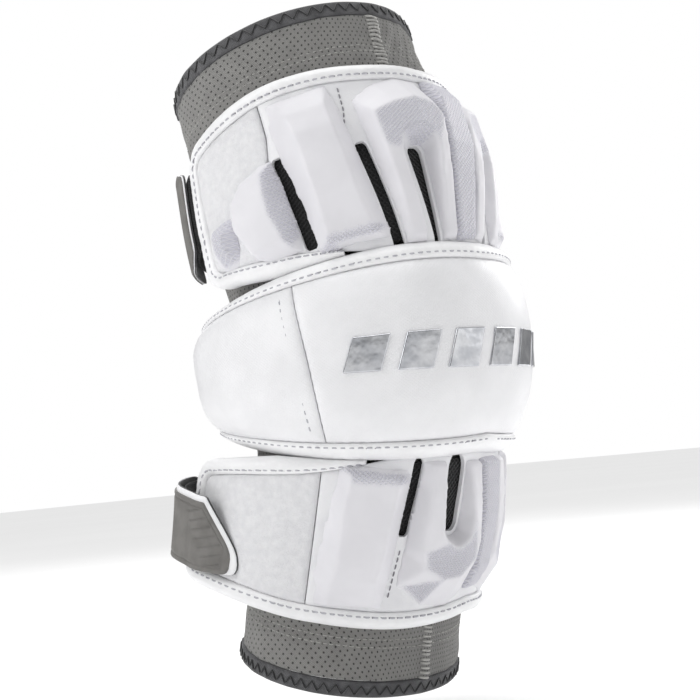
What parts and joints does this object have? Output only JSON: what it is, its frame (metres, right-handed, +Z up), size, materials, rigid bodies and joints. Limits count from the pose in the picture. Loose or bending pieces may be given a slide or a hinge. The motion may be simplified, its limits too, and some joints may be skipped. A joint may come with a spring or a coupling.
{
  "type": "lacrosse arm pad",
  "caption": "Padded arm guard on a bent knitted sleeve, with a fan of moulded ribs above and below a domed elbow cap, edge bindings and straps",
  "frame": {"origin": "On the arm's axis at the middle of the elbow bend, where the arm holds the pad", "axes": "+Z runs up the arm to the shoulder, the point of the elbow and the cap face -Y, +X is to the right as seen from the cap"},
  "size_m": [0.1602, 0.1741, 0.321],
  "materials": {
    "sleeve_knit": "perforated spacer knit",
    "hem_knit": "ribbed elastic hem",
    "black_foam": "black mesh over foam",
    "white_skin": "matte coated synthetic leather",
    "white_fleece": "brushed loop pile",
    "white_binding": "soft coated binding, stitched",
    "white_rib": "moulded, hatched side faces",
    "chrome_bar": "polished",
    "strap_web": "woven elastic",
    "grey_tab": "moulded, matte"
  },
  "bodies": {
    "root": {"sleeve": "sleeve_knit", "upper_hem": "hem_knit", "lower_hem": "hem_knit", "bicep_foam": "black_foam", "bicep_panel": "white_skin", "bicep_fleece_left": "white_fleece", "bicep_fleece_right": "white_fleece", "bicep_binding": "white_binding", "bicep_small_rib_left": "white_rib", "bicep_side_rib_left": "white_rib", "bicep_broad_rib_left": "white_rib", "bicep_arch_left": "white_rib", "bicep_small_rib_right": "white_rib", "bicep_side_rib_right": "white_rib", "bicep_broad_rib_right": "white_rib", "bicep_arch_right": "white_rib", "bicep_spine": "white_rib", "elbow_foam": "black_foam", "elbow_cap": "white_skin", "elbow_side_left": "white_skin", "elbow_side_right": "white_skin", "elbow_binding": "white_binding", "accent_bar_1": "chrome_bar", "accent_bar_2": "chrome_bar", "accent_bar_3": "chrome_bar", "accent_bar_4": "chrome_bar", "accent_bar_5": "chrome_bar", "accent_bar_6": "chrome_bar", "accent_bar_7": "chrome_bar", "forearm_foam": "black_foam", "forearm_panel": "white_skin", "forearm_fleece_left": "white_fleece", "forearm_fleece_right": "white_fleece", "forearm_binding": "white_binding", "forearm_broad_rib_left": "white_rib", "forearm_arch_left": "white_rib", "forearm_broad_rib_right": "white_rib", "forearm_arch_right": "white_rib", "forearm_spine": "white_rib", "upper_strap": "strap_web", "upper_tab": "grey_tab", "lower_strap": "strap_web", "lower_tab": "grey_tab"}
  },
  "joints": []
}
